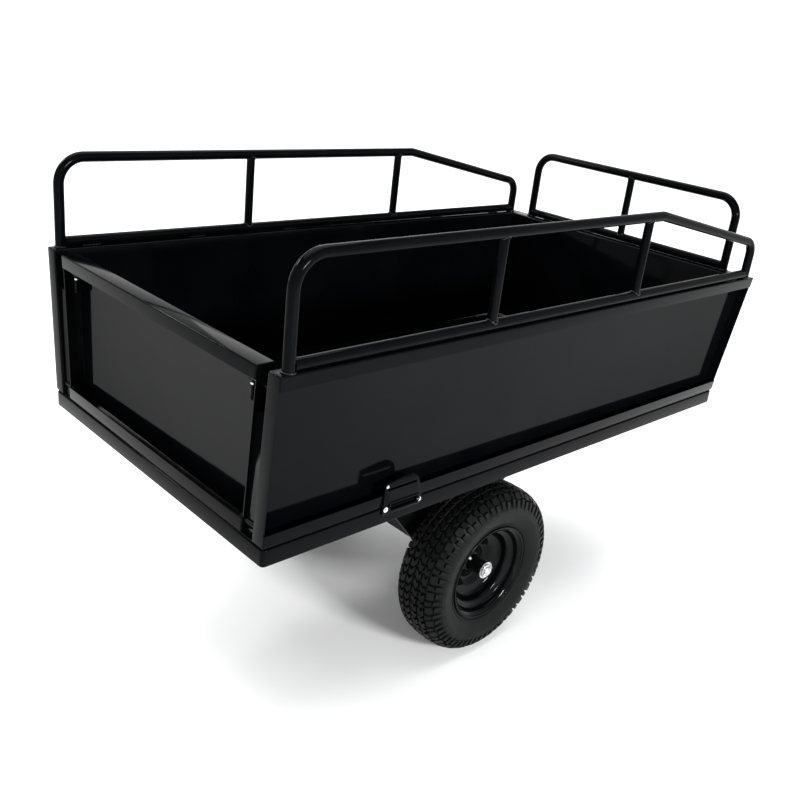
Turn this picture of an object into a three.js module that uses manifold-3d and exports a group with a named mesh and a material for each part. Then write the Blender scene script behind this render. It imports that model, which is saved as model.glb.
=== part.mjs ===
// A tow-behind tipping cart: a folded-sheet tub with tube rails on three sides and a drop tailgate,
// tipping on a light chassis with a drawbar and two pneumatic wheels.
// Millimetres. X points forward to the hitch, Y to the left, Z up, and z = 0 is the ground.
// Everything is drawn with the tub's rear face at x = 0; the whole cart is centred at the end.
import * as THREE from "three";
import { mergeVertices } from "three/addons/utils/BufferGeometryUtils.js";
import Module from "manifold-3d";

const wasm = await Module();
wasm.setup();

// ---------------------------------------------------------------- driving dimensions
const GAP = 0.3; // left between pieces that touch
const SHEET = 2.5; // thickness of the folded sheet

// Tub
const TUB_LENGTH = 1526; // rear face to front edge, at the top
const TUB_HALF_WIDTH = 416; // centre line to outer edge, at the top
const TUB_TOP = 814;
const SIDE_FLARE = 20; // how far each side leans out
const FRONT_FLARE = 34; // how far the front leans out
const FRAME_BOTTOM = 458;
const FRAME_HEIGHT = 34;
const FRAME_WIDTH = 30;
const LIP = 26; // height of the return lips along the pans
const SIDE_DEPTH = 34; // how far the side panels are set in, and so the width of each rear post
const FRONT_DEPTH = 45;
const GATE_DEPTH = 38;

// Tailgate
const GATE_END_GAP = 66; // outer edge of the side to the tailgate's end flange
const ANGLE_X = 8; // how far forward of the rear face the corner angles stand
const ANGLE_WIDTH = 30; // the angles' rear-facing leg, between post and tailgate
const ANGLE_DEPTH = 26; // the angles' other leg, along the side panel
const ANGLE_TOP = 738; // where the rear-facing leg ends, below the latch
const GATE_PIVOT_X = 9;
const GATE_PIVOT_HEIGHT = 24; // above the tailgate's lower edge
const GATE_PIN_RADIUS = 5;
const LATCH_X = 18;
const LATCH_Z = 776;
const LATCH_PIN_RADIUS = 4.5;
const LATCH_CLEARANCE = 2.5; // from the drawn-back pin to its plate

// Rails
const TUBE_RADIUS = 11;
const RAIL_INSET = 13; // outer edge of the tub to the tube's centre line
const RAIL_RISE = 187; // top bar's centre line above the tub
const RAIL_FRONT_RISE = 92; // where the sloping bar meets the front leg
const RAIL_BEND = 42; // centre-line radius of the upper bends
const RAIL_REAR_X = 23;
const RAIL_UPRIGHTS = [497, 979];
const RAIL_KINK_X = 1031;
const FRONT_RAIL_HALF = 332;

// Chassis
const PIVOT_X = 327; // tipping axis
const CHASSIS_TUBE = 40;
const CHASSIS_Y = 240; // centre line to each side rail's centre
const CHASSIS_FRONT_X = 1050;
const AXLE_X = 652;
const DRAWBAR = 50;
const DRAWBAR_REAR_X = 640;
const DRAWBAR_FRONT_X = 2150;
const HITCH_X = 2200;
const LATCH_LEVER_X = 1550;

// Wheels: 16 inch tyres, 4.80 wide, on 8 inch rims
const TYRE_RADIUS = 203;
const WHEEL_Y = 333; // centre line to the middle of each wheel
const AXLE_RADIUS = 10;
const HUB_HALF = 38;

// Heights and spans that follow
const FRAME_TOP = FRAME_BOTTOM + FRAME_HEIGHT;
const FLOOR_TOP = FRAME_TOP + GAP + SHEET;
const PAN_BOTTOM = FLOOR_TOP + GAP;
const PAN_HEIGHT = TUB_TOP - PAN_BOTTOM;
const BASE_HALF_WIDTH = TUB_HALF_WIDTH - SIDE_FLARE;
const BASE_LENGTH = TUB_LENGTH - FRONT_FLARE;
const GATE_BOTTOM = FLOOR_TOP + 2.2;
const GATE_HEIGHT = TUB_TOP - 2 - GATE_BOTTOM;
const GATE_PIVOT_Z = GATE_BOTTOM + GATE_PIVOT_HEIGHT;
const CHASSIS_TOP = FRAME_BOTTOM - GAP;
const CHASSIS_BOTTOM = CHASSIS_TOP - CHASSIS_TUBE;
const PIVOT_Z = CHASSIS_TOP - CHASSIS_TUBE / 2;
const DRAWBAR_TOP = CHASSIS_BOTTOM - GAP;
const DRAWBAR_BOTTOM = DRAWBAR_TOP - DRAWBAR;

// The tub's outer half width at height z.
function halfWidthAt(z) {
  return BASE_HALF_WIDTH + (SIDE_FLARE * (z - PAN_BOTTOM)) / PAN_HEIGHT;
}

// ---------------------------------------------------------------- materials
const blackPaint = new THREE.MeshStandardMaterial({ color: 0x0c0d0f, roughness: 0.25, metalness: 0.2 });
const chassisPaint = new THREE.MeshStandardMaterial({ color: 0x141517, roughness: 0.4, metalness: 0.2 });
const rimPaint = new THREE.MeshStandardMaterial({ color: 0x101114, roughness: 0.2, metalness: 0.3 });
const tyreRubber = new THREE.MeshStandardMaterial({ color: 0x1c1d1f, roughness: 0.85, metalness: 0 });
const zincPlate = new THREE.MeshStandardMaterial({ color: 0xb9bcc0, roughness: 0.35, metalness: 1 });

// ---------------------------------------------------------------- shape helpers
function solid(geometry) {
  const bare = geometry.clone();
  bare.deleteAttribute("normal");
  bare.deleteAttribute("uv");
  const merged = mergeVertices(bare, 1e-3);
  const mesh = new wasm.Mesh({
    numProp: 3,
    vertProperties: new Float32Array(merged.attributes.position.array),
    triVerts: new Uint32Array(merged.index.array),
  });
  return new wasm.Manifold(mesh);
}

function geometryOf(manifold) {
  const mesh = manifold.getMesh();
  const geometry = new THREE.BufferGeometry();
  geometry.setAttribute("position", new THREE.BufferAttribute(mesh.vertProperties, 3));
  geometry.setIndex(new THREE.BufferAttribute(mesh.triVerts, 1));
  geometry.computeVertexNormals();
  return geometry;
}

function join(...geometries) {
  return geometryOf(geometries.map(solid).reduce((sum, part) => sum.add(part)));
}

function cut(geometry, ...tools) {
  return geometryOf(tools.map(solid).reduce((rest, tool) => rest.subtract(tool), solid(geometry)));
}

function box(low, high) {
  const size = high.map((value, i) => value - low[i]);
  const centre = low.map((value, i) => value + size[i] / 2);
  return new THREE.BoxGeometry(...size).translate(...centre);
}

// Where a prism's outline and its length point: [first, second, along].
const PRISM_AXES = {
  x: [[0, 1, 0], [0, 0, 1], [1, 0, 0]],
  y: [[1, 0, 0], [0, 0, 1], [0, -1, 0]],
  z: [[1, 0, 0], [0, 1, 0], [0, 0, 1]],
};

// A shape or list of points across an axis, run from `start` to `end` along it.
function prism(outline, axis, start, end) {
  const shape = Array.isArray(outline)
    ? new THREE.Shape(outline.map(([a, b]) => new THREE.Vector2(a, b)))
    : outline;
  const geometry = new THREE.ExtrudeGeometry(shape, { depth: end - start, bevelEnabled: false, curveSegments: 8 });
  const vectors = PRISM_AXES[axis].map((v) => new THREE.Vector3(...v));
  geometry.applyMatrix4(new THREE.Matrix4().makeBasis(...vectors));
  const offset = axis === "y" ? end : start;
  return geometry.translate(...["x", "y", "z"].map((name) => (name === axis ? offset : 0)));
}

function rod(axis, centre, radius, start, end, sides = 16) {
  const outline = Array.from({ length: sides }, (_, i) => {
    const angle = (2 * Math.PI * (i + 0.5)) / sides;
    return [centre[0] + radius * Math.cos(angle), centre[1] + radius * Math.sin(angle)];
  });
  return prism(outline, axis, start, end);
}

// Leans a geometry: x and y grow by these amounts for each millimetre above the pans' lower edge.
function lean(geometry, dx, dy) {
  const shear = new THREE.Matrix4().set(1, 0, dx, 0, 0, 1, dy, 0, 0, 0, 1, 0, 0, 0, 0, 1);
  return geometry.translate(0, 0, -PAN_BOTTOM).applyMatrix4(shear).translate(0, 0, PAN_BOTTOM);
}

function mirrored(geometry) {
  const source = geometry.index ? geometry.toNonIndexed() : geometry;
  const position = source.attributes.position;
  const points = new Float32Array(position.count * 3);
  for (let i = 0; i < position.count; i += 3) {
    [i, i + 2, i + 1].forEach((from, k) => {
      points.set([position.getX(from), -position.getY(from), position.getZ(from)], (i + k) * 3);
    });
  }
  const flipped = new THREE.BufferGeometry();
  flipped.setAttribute("position", new THREE.BufferAttribute(points, 3));
  const result = mergeVertices(flipped, 1e-3);
  result.computeVertexNormals();
  return result;
}

// A square tube with open ends, running along an axis between two cross-section corners.
function squareTube(axis, low, high, wall) {
  const outer = box(low, high);
  const lowIn = low.map((value, i) => ("xyz"[i] === axis ? value - 1 : value + wall));
  const highIn = high.map((value, i) => ("xyz"[i] === axis ? value + 1 : value - wall));
  return cut(outer, box(lowIn, highIn));
}

// ---------------------------------------------------------------- scene graph
const cart = new THREE.Group();
const SIDES = ["right", "left"];

function add(name, geometry, material) {
  const mesh = new THREE.Mesh(geometry, material);
  mesh.name = name;
  cart.add(mesh);
}

// Adds a piece of the right side and its mirror image on the left.
function addPair(name, geometry, material) {
  add(`right_${name}`, geometry, material);
  add(`left_${name}`, mirrored(geometry), material);
}

// ---------------------------------------------------------------- tub frame and floor
// An open-bottomed channel with mitred ends: `line` runs along the outside from end to end.
function frameRail(outline, inner) {
  const shell = prism(outline, "z", FRAME_BOTTOM, FRAME_TOP);
  return cut(shell, prism(inner, "z", FRAME_BOTTOM - 1, FRAME_TOP - SHEET));
}

function addFrame() {
  const [w, b, l] = [FRAME_WIDTH, BASE_HALF_WIDTH, BASE_LENGTH];
  const t = SHEET;
  const side = frameRail(
    [[GAP, -b], [l - GAP, -b], [l - w - GAP, -b + w], [w + GAP, -b + w]],
    [[2.5 * t, -b + t], [l - 2.5 * t, -b + t], [l - w + GAP, -b + w - t], [w - GAP, -b + w - t]],
  );
  addPair("frame_rail", side, blackPaint);
  const end = [[0, -b + GAP], [w, -b + w + GAP], [w, b - w - GAP], [0, b - GAP]];
  const hollow = [[t, -b + 2.5 * t], [w - t, -b + w], [w - t, b - w], [t, b - 2.5 * t]];
  add("rear_frame_rail", frameRail(end, hollow), blackPaint);
  const turn = ([x, y]) => [l - x, y];
  add("front_frame_rail", frameRail(end.map(turn), hollow.map(turn)), blackPaint);

  const reach = b - w - GAP;
  [PIVOT_X, 1000].forEach((x, i) => {
    const low = [x - 20, -reach, FRAME_BOTTOM + GAP];
    const high = [x + 20, reach, FRAME_TOP - GAP];
    add(`floor_cross_member_${i + 1}`, squareTube("y", low, high, SHEET), chassisPaint);
  });
  const floor = box([3, -b + 3, FRAME_TOP + GAP], [l - 3, b - 3, FLOOR_TOP]);
  add("floor_sheet", floor, blackPaint);
}

// ---------------------------------------------------------------- pans
// A folded tray: its face lies in y = 0, its panel `depth` behind that at +y. `low` and `high` are
// where its lower and upper edges start and end along x. Flanges close all four edges, and return
// lips run along the bottom and top.
function tray({ low, high, height, depth }) {
  const t = SHEET;
  const outline = [[low[0], 0], [low[1], 0], [high[1], height], [high[0], height]];
  const inset = [[low[0] + t, t], [low[1] - t, t], [high[1] - t, height - t], [high[0] + t, height - t]];
  const block = solid(prism(outline, "y", 0, depth));
  const hollow = solid(prism(inset, "y", -1, depth - t));
  const face = [[0, LIP], [height - LIP, height]].map(([from, to]) =>
    block.intersect(solid(box([-2000, 0, from], [2000, t, to]))),
  );
  return block.subtract(hollow).add(face[0]).add(face[1]);
}

function addSidePans() {
  const pan = tray({ low: [0, BASE_LENGTH], high: [0, TUB_LENGTH], height: PAN_HEIGHT, depth: SIDE_DEPTH });
  const placed = geometryOf(pan).translate(0, -BASE_HALF_WIDTH, PAN_BOTTOM);
  const leaning = lean(placed, 0, -SIDE_FLARE / PAN_HEIGHT);
  const wall = (z) => [-halfWidthAt(z) + SIDE_DEPTH - 8, -halfWidthAt(z) + SIDE_DEPTH + 4];
  const pivotHole = rod("y", [GATE_PIVOT_X, GATE_PIVOT_Z], GATE_PIN_RADIUS + 0.6, ...wall(GATE_PIVOT_Z));
  const latchHole = rod("y", [LATCH_X, LATCH_Z], LATCH_PIN_RADIUS + 0.6, ...wall(LATCH_Z));
  addPair("side_pan", cut(leaning, pivotHole, latchHole), blackPaint);
}

function addFrontPan() {
  const low = BASE_HALF_WIDTH - SIDE_DEPTH - 2 * GAP;
  const high = low + SIDE_FLARE;
  const pan = tray({ low: [-low, low], high: [-high, high], height: PAN_HEIGHT, depth: FRONT_DEPTH });
  const placed = geometryOf(pan).rotateZ(Math.PI / 2).translate(BASE_LENGTH, 0, PAN_BOTTOM);
  add("front_pan", lean(placed, FRONT_FLARE / PAN_HEIGHT, 0), blackPaint);
}

// ---------------------------------------------------------------- tailgate and its latches
function addTailgate() {
  const spread = (gap, z) => halfWidthAt(z) - gap;
  const top = GATE_BOTTOM + GATE_HEIGHT;
  const span = (gap, z) => [-spread(gap, z), spread(gap, z)];
  const pan = tray({
    low: span(GATE_END_GAP, GATE_BOTTOM),
    high: span(GATE_END_GAP, top),
    height: GATE_HEIGHT,
    depth: GATE_DEPTH,
  });
  const placed = geometryOf(pan).rotateZ(-Math.PI / 2).translate(0, 0, GATE_BOTTOM);
  const holes = [
    [GATE_PIVOT_X, GATE_PIVOT_Z, GATE_PIN_RADIUS + GAP],
    [LATCH_X, LATCH_Z, LATCH_PIN_RADIUS + 0.8],
  ].map(([x, z, radius]) => rod("y", [x, z], radius, -400, 400));
  add("tailgate", cut(placed, ...holes), blackPaint);

  const inner = -spread(GATE_END_GAP, GATE_PIVOT_Z) + 14;
  const outer = -spread(SIDE_DEPTH, GATE_PIVOT_Z) - 8;
  const shank = rod("y", [GATE_PIVOT_X, GATE_PIVOT_Z], GATE_PIN_RADIUS, outer, inner);
  const head = rod("y", [GATE_PIVOT_X + 2, GATE_PIVOT_Z], 6.2, inner - 7, inner, 6);
  addPair("tailgate_pivot_pin", join(shank, head), blackPaint);
}

// An angle in each rear corner closes the gap between post and tailgate; the latch pin enters its side leg.
function addCornerAngles() {
  const y = -BASE_HALF_WIDTH + SIDE_DEPTH + GAP;
  const low = GATE_BOTTOM;
  const across = [[y, low], [y + ANGLE_WIDTH, low], [y + ANGLE_WIDTH, ANGLE_TOP - 10], [y, ANGLE_TOP]];
  const rearLeg = prism(across, "x", ANGLE_X, ANGLE_X + SHEET);
  const sideLeg = box([ANGLE_X - 4, y, low], [ANGLE_X - 4 + ANGLE_DEPTH, y + SHEET, TUB_TOP - 8]);
  const leaning = lean(join(rearLeg, sideLeg), 0, -SIDE_FLARE / PAN_HEIGHT);
  const pivotHole = rod("y", [GATE_PIVOT_X, GATE_PIVOT_Z], GATE_PIN_RADIUS + 0.8, -400, -300);
  const latchHole = rod("y", [LATCH_X, LATCH_Z], LATCH_PIN_RADIUS + 0.5, -400, -300);
  addPair("corner_angle", cut(leaning, pivotHole, latchHole), blackPaint);
}

function addLatches() {
  const tip = -halfWidthAt(LATCH_Z) + SIDE_DEPTH + LATCH_CLEARANCE + SHEET + GAP;
  const end = -halfWidthAt(LATCH_Z) + GATE_END_GAP + 38;
  const shank = rod("y", [LATCH_X, LATCH_Z], LATCH_PIN_RADIUS, tip, end);
  const handle = rod("z", [LATCH_X, end - 10], 4, LATCH_Z - 40, LATCH_Z, 12);
  addPair("latch_pin", join(shank, handle), blackPaint);
}

// ---------------------------------------------------------------- rails
// A bent tube through corner points, each inner corner rounded to its own radius.
function bentTube(corners, radii) {
  const points = corners.map((corner) => new THREE.Vector3(...corner));
  const path = new THREE.CurvePath();
  let start = points[0];
  for (let i = 1; i < points.length - 1; i += 1) {
    const [before, here, after] = [points[i - 1], points[i], points[i + 1]];
    const incoming = here.clone().sub(before).normalize();
    const outgoing = after.clone().sub(here).normalize();
    const reach = radii[i - 1] * Math.tan(incoming.angleTo(outgoing) / 2);
    const enter = here.clone().addScaledVector(incoming, -reach);
    const leave = here.clone().addScaledVector(outgoing, reach);
    path.add(new THREE.LineCurve3(start, enter));
    path.add(new THREE.QuadraticBezierCurve3(enter, here, leave));
    start = leave;
  }
  path.add(new THREE.LineCurve3(start, points.at(-1)));
  return sweep(path);
}

// The tube section swept through a path's own points, so that straight stretches stay one step long.
function sweep(path) {
  const stops = path.curves.flatMap((curve, i) => {
    const steps = curve.isLineCurve3 ? 1 : 5;
    return curve.getPoints(steps).slice(i === 0 ? 0 : 1);
  });
  const polyline = new THREE.CurvePath();
  stops.slice(1).forEach((stop, i) => polyline.add(new THREE.LineCurve3(stops[i], stop)));
  const total = stops.length - 1;
  polyline.getPointAt = (t) => polyline.getPoint(t);
  polyline.getPoint = (t) => {
    const place = Math.min(Math.round(t * total), total);
    return stops[place].clone();
  };
  polyline.getTangentAt = (t) => {
    const place = Math.round(t * total);
    const before = stops[Math.max(place - 1, 0)];
    const after = stops[Math.min(place + 1, total)];
    const into = stops[place].clone().sub(before).normalize();
    const out = after.clone().sub(stops[place]).normalize();
    return into.add(out).normalize();
  };
  polyline.getTangent = polyline.getTangentAt;
  const section = new THREE.Shape(
    Array.from({ length: 12 }, (_, i) => {
      const angle = (Math.PI * i) / 6;
      return new THREE.Vector2(TUBE_RADIUS * Math.cos(angle), TUBE_RADIUS * Math.sin(angle));
    }),
  );
  return new THREE.ExtrudeGeometry(section, { steps: total, extrudePath: polyline, bevelEnabled: false });
}

function addRails() {
  const base = TUB_TOP + GAP;
  const barZ = base + TUBE_RADIUS;
  const y = -TUB_HALF_WIDTH + RAIL_INSET;
  const frontX = TUB_LENGTH - 2 * TUBE_RADIUS - 10;
  const top = TUB_TOP + RAIL_RISE;
  const clear = TUBE_RADIUS + GAP;
  const hoop = bentTube(
    [
      [RAIL_REAR_X, y, base],
      [RAIL_REAR_X, y, top],
      [RAIL_KINK_X, y, top],
      [frontX, y, TUB_TOP + RAIL_FRONT_RISE],
      [frontX, y, base],
    ],
    [RAIL_BEND, RAIL_BEND, RAIL_BEND * 0.7],
  );
  addPair("rail_hoop", hoop, blackPaint);
  addPair("rail_bottom_bar", rod("x", [y, barZ], TUBE_RADIUS, RAIL_REAR_X + clear, frontX - clear, 12), blackPaint);
  RAIL_UPRIGHTS.forEach((x, i) => {
    const post = rod("z", [x, y], TUBE_RADIUS - 1, barZ + clear, top - clear, 12);
    addPair(`rail_upright_${i + 1}`, post, blackPaint);
  });

  const x = TUB_LENGTH - RAIL_INSET;
  const half = FRONT_RAIL_HALF;
  const frontHoop = bentTube([[x, -half, base], [x, -half, top], [x, half, top], [x, half, base]], [RAIL_BEND, RAIL_BEND]);
  add("front_rail_hoop", frontHoop, blackPaint);
  add("front_rail_bottom_bar", rod("y", [x, barZ], TUBE_RADIUS, -half + clear, half - clear, 12), blackPaint);
  add("front_rail_upright", rod("z", [x, 0], TUBE_RADIUS - 1, barZ + clear, top - clear, 12), blackPaint);
}

// ---------------------------------------------------------------- tub brackets
function addTubBrackets() {
  const outer = -BASE_HALF_WIDTH - 5.2;
  const lipTop = PAN_BOTTOM + LIP;
  const outline = [
    [268, FRAME_TOP - 12],
    [366, FRAME_TOP - 12],
    [366, FRAME_TOP + 14],
    [357, lipTop + 14],
    [350, lipTop + 23],
    [336, lipTop + 31],
    [316, lipTop + 31],
    [268, lipTop + 24],
  ];
  const face = prism(outline, "y", outer, outer + 3);
  const window = box([276, outer - 1, lipTop + 9], [350, outer + 4, lipTop + 14]);
  const slot = box([286, outer - 3, FRAME_TOP - 5], [356, outer + 4, FRAME_TOP + 9]);
  const ribs = [FRAME_TOP - 6.5, FRAME_TOP + 10.5].map((z) => rod("x", [outer, z], 2.4, 284, 358, 10));
  const bracket = cut(join(face, ...ribs), window, slot);
  addPair("side_bracket", bracket, blackPaint);

  const [y0, y1] = [-CHASSIS_Y - CHASSIS_TUBE / 2 - 7, -CHASSIS_Y - CHASSIS_TUBE / 2 - 1];
  const lug = new THREE.Shape();
  lug.moveTo(PIVOT_X - 24, FRAME_BOTTOM);
  lug.lineTo(PIVOT_X - 18, PIVOT_Z);
  lug.absarc(PIVOT_X, PIVOT_Z, 18, Math.PI, 2 * Math.PI, false);
  lug.lineTo(PIVOT_X + 24, FRAME_BOTTOM);
  const hole = rod("y", [PIVOT_X, PIVOT_Z], 6.6, y0 - 1, y1 + 1);
  addPair("pivot_lug", cut(prism(lug, "y", y0, y1), hole), chassisPaint);

  const front = BASE_LENGTH + GAP;
  const plate = box([front, -32, FRAME_BOTTOM + 3], [front + 4, 32, FRAME_TOP - 3]);
  const cheeks = [-28, 20].map((from) => box([front + 3, from, 464], [front + 22, from + 8, 482]));
  const bar = rod("y", [front + 14, 473], 5, -26, 26, 12);
  add("latch_striker", join(plate, ...cheeks, bar), chassisPaint);
}

// ---------------------------------------------------------------- chassis
function addChassis() {
  const half = CHASSIS_TUBE / 2;
  const y0 = -CHASSIS_Y - half;
  const y1 = -CHASSIS_Y + half;
  const outline = new THREE.Shape();
  outline.moveTo(PIVOT_X, CHASSIS_BOTTOM);
  outline.lineTo(CHASSIS_FRONT_X, CHASSIS_BOTTOM);
  outline.lineTo(CHASSIS_FRONT_X, CHASSIS_TOP);
  outline.lineTo(PIVOT_X, CHASSIS_TOP);
  outline.absarc(PIVOT_X, PIVOT_Z, half, Math.PI / 2, 1.5 * Math.PI, false);
  const bore = box([PIVOT_X + half, y0 + 3, CHASSIS_BOTTOM + 3], [CHASSIS_FRONT_X + 1, y1 - 3, CHASSIS_TOP - 3]);
  const boltHole = rod("y", [PIVOT_X, PIVOT_Z], 6.3, y0 - 1, y1 + 1);
  addPair("chassis_rail", cut(prism(outline, "y", y0, y1), bore, boltHole), chassisPaint);

  const boltStart = y0 - 7 - GAP;
  const shank = rod("y", [PIVOT_X, PIVOT_Z], 6, boltStart, y1 + 9);
  const head = rod("y", [PIVOT_X, PIVOT_Z], 10, boltStart - 8, boltStart, 6);
  addPair("pivot_bolt", join(shank, head), zincPlate);

  const reach = CHASSIS_Y - half - GAP;
  [["rear", DRAWBAR_REAR_X], ["front", CHASSIS_FRONT_X - CHASSIS_TUBE]].forEach(([name, x]) => {
    const low = [x, -reach, CHASSIS_BOTTOM];
    const high = [x + CHASSIS_TUBE, reach, CHASSIS_TOP];
    add(`${name}_cross_member`, squareTube("y", low, high, 3), chassisPaint);
  });

  const beam = 22.5;
  const beamEnd = WHEEL_Y - HUB_HALF - 1;
  const beamLow = [AXLE_X - beam, -beamEnd, TYRE_RADIUS - beam];
  const beamHigh = [AXLE_X + beam, beamEnd, TYRE_RADIUS + beam];
  const axleBore = rod("y", [AXLE_X, TYRE_RADIUS], AXLE_RADIUS + GAP, -beamEnd - 1, beamEnd + 1);
  add("axle_beam", cut(box(beamLow, beamHigh), axleBore), chassisPaint);
  const stub = rod("y", [AXLE_X, TYRE_RADIUS], AXLE_RADIUS, -WHEEL_Y - 46, -190);
  addPair("stub_axle", stub, zincPlate);
  const washer = rod("y", [AXLE_X, TYRE_RADIUS], 16, -WHEEL_Y - HUB_HALF - 3.6, -WHEEL_Y - HUB_HALF - 0.6, 20);
  const eye = rod("y", [AXLE_X, TYRE_RADIUS], AXLE_RADIUS + GAP, -WHEEL_Y - 60, -WHEEL_Y);
  addPair("axle_washer", cut(washer, eye), zincPlate);

  const beamTop = TYRE_RADIUS + beam + GAP;
  const railUnder = CHASSIS_BOTTOM - GAP;
  const plate = [
    [400, railUnder],
    [962, railUnder],
    [AXLE_X + beam, beamTop],
    [AXLE_X - beam, beamTop],
    [540, beamTop + 24],
  ];
  addPair("axle_plate", prism(plate, "y", -CHASSIS_Y - 5, -CHASSIS_Y + 5), chassisPaint);
}

function addDrawbar() {
  const half = DRAWBAR / 2;
  const tube = squareTube("x", [DRAWBAR_REAR_X, -half, DRAWBAR_BOTTOM], [DRAWBAR_FRONT_X, half, DRAWBAR_TOP], 3);
  add("drawbar", tube, chassisPaint);

  const arm = new THREE.Shape();
  arm.moveTo(DRAWBAR_FRONT_X - 110, -half);
  arm.lineTo(HITCH_X, -half);
  arm.absarc(HITCH_X, 0, half, -Math.PI / 2, Math.PI / 2, false);
  arm.lineTo(DRAWBAR_FRONT_X - 110, half);
  const upper = prism(arm, "z", DRAWBAR_TOP + GAP, DRAWBAR_TOP + 8 + GAP);
  const lower = prism(arm, "z", DRAWBAR_BOTTOM - 8 - GAP, DRAWBAR_BOTTOM - GAP);
  const back = box(
    [DRAWBAR_FRONT_X + GAP, -half, DRAWBAR_BOTTOM - 2],
    [DRAWBAR_FRONT_X + 8, half, DRAWBAR_TOP + 2],
  );
  const pinHole = rod("z", [HITCH_X, 0], 8.2, DRAWBAR_BOTTOM - 20, DRAWBAR_TOP + 20);
  add("hitch_clevis", cut(join(upper, lower, back), pinHole), chassisPaint);

  const pinBottom = DRAWBAR_BOTTOM - 30;
  const seat = DRAWBAR_TOP + 8 + 2 * GAP;
  const shank = rod("z", [HITCH_X, 0], 7.5, pinBottom, seat + 4);
  const collar = rod("z", [HITCH_X, 0], 14, seat, seat + 5, 20);
  const ring = new THREE.TorusGeometry(17, 3.2, 6, 16).rotateY(Math.PI / 2).translate(HITCH_X, 0, seat + 20);
  add("hitch_pin", join(shank, collar, ring), zincPlate);
}

function addTipLatch() {
  const z = DRAWBAR_TOP + 26;
  const cheek = [[-22, -26], [22, -26], [12, 12], [-12, 12]].map(([a, b]) => [LATCH_LEVER_X + a, z + b + GAP]);
  const cheeks = [[-13, -7], [7, 13]].map(([from, to]) => prism(cheek, "y", from, to));
  const sole = box(
    [LATCH_LEVER_X - 22, -13, DRAWBAR_TOP + GAP],
    [LATCH_LEVER_X + 22, 13, DRAWBAR_TOP + 5],
  );
  const hole = rod("y", [LATCH_LEVER_X, z], 5.3, -14, 14);
  add("latch_bracket", cut(join(...cheeks, sole), hole), chassisPaint);

  const shank = rod("y", [LATCH_LEVER_X, z], 5, -20, 20);
  const heads = [[-20, -14], [14, 20]].map(([from, to]) => rod("y", [LATCH_LEVER_X, z], 8, from, to, 6));
  add("latch_bolt", join(shank, ...heads), zincPlate);

  const outline = [[-10, -8], [6, -10], [12, 4], [22, 70], [62, 190], [50, 195], [6, 80], [-33, 76], [-33, 60], [-8, 52]];
  const lever = prism(outline.map(([a, b]) => [LATCH_LEVER_X + a, z + b]), "y", -5, 5);
  const eye = rod("y", [LATCH_LEVER_X, z], 5.4, -6, 6);
  add("tip_latch_lever", cut(lever, eye), chassisPaint);
}

// ---------------------------------------------------------------- wheels
// A ring turned about the wheel's axis from [radius, y] points that close on themselves.
function ringOf(profile, segments) {
  const area = profile.reduce((sum, [radius, y], i) => {
    const [nextRadius, nextY] = profile[(i + 1) % profile.length];
    return sum + radius * nextY - nextRadius * y;
  }, 0);
  const ordered = area > 0 ? profile : [...profile].reverse();
  const points = [...ordered, ordered[0]].map(([radius, y]) => new THREE.Vector2(radius, y));
  return new THREE.LatheGeometry(points, segments);
}

function mirrorProfile(half) {
  const other = half.filter(([, y]) => y !== 0).map(([radius, y]) => [radius, -y]);
  return [...half, ...other.reverse()];
}

function addWheels() {
  const outside = [[104, 43.5], [117, 47.5], [138, 58], [160, 61], [182, 57], [197, 42], [203, 0]];
  const inside = [[104, 34], [126, 44], [162, 50], [186, 38], [192, 0]];
  const tyre = [...mirrorProfile(outside), ...mirrorProfile(inside).reverse()];

  const rimOuter = [[115, 53], [115.5, 49], [103, 44.5], [101, 30], [88, 24]];
  const rim = [
    ...rimOuter,
    ...rimOuter.map(([radius, y]) => [radius, -y]).reverse(),
    [99, -45], [97, -32], [84, -25], [84, -4], [62, -12], [20.4, -2],
    [20.4, 2], [62, -8], [84, 0], [84, 25], [97, 32], [99, 45],
  ];
  const hub = [
    [10.6, -HUB_HALF], [18, -HUB_HALF], [20, -HUB_HALF + 2],
    [20, HUB_HALF - 2], [18, HUB_HALF], [10.6, HUB_HALF],
  ];
  const wheel = [
    ["tyre", tyre, 32, tyreRubber],
    ["rim", rim, 32, rimPaint],
    ["hub", hub, 20, rimPaint],
  ];
  wheel.forEach(([name, profile, segments, material]) => {
    // The dish of each rim faces outwards, so the right wheel's profile is turned over.
    const outwards = profile.map(([radius, y]) => [radius, -y]);
    const ring = ringOf(outwards, segments).translate(AXLE_X, -WHEEL_Y, TYRE_RADIUS);
    addPair(name, ring, material);
  });
}

// ---------------------------------------------------------------- the cart
addFrame();
addSidePans();
addFrontPan();
addTailgate();
addCornerAngles();
addLatches();
addRails();
addTubBrackets();
addChassis();
addDrawbar();
addTipLatch();
addWheels();

cart.position.x = -(HITCH_X + DRAWBAR / 2) / 2;

export default cart;
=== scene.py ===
import math
import random

import bmesh
import bpy
from mathutils import Matrix, Vector


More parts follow.
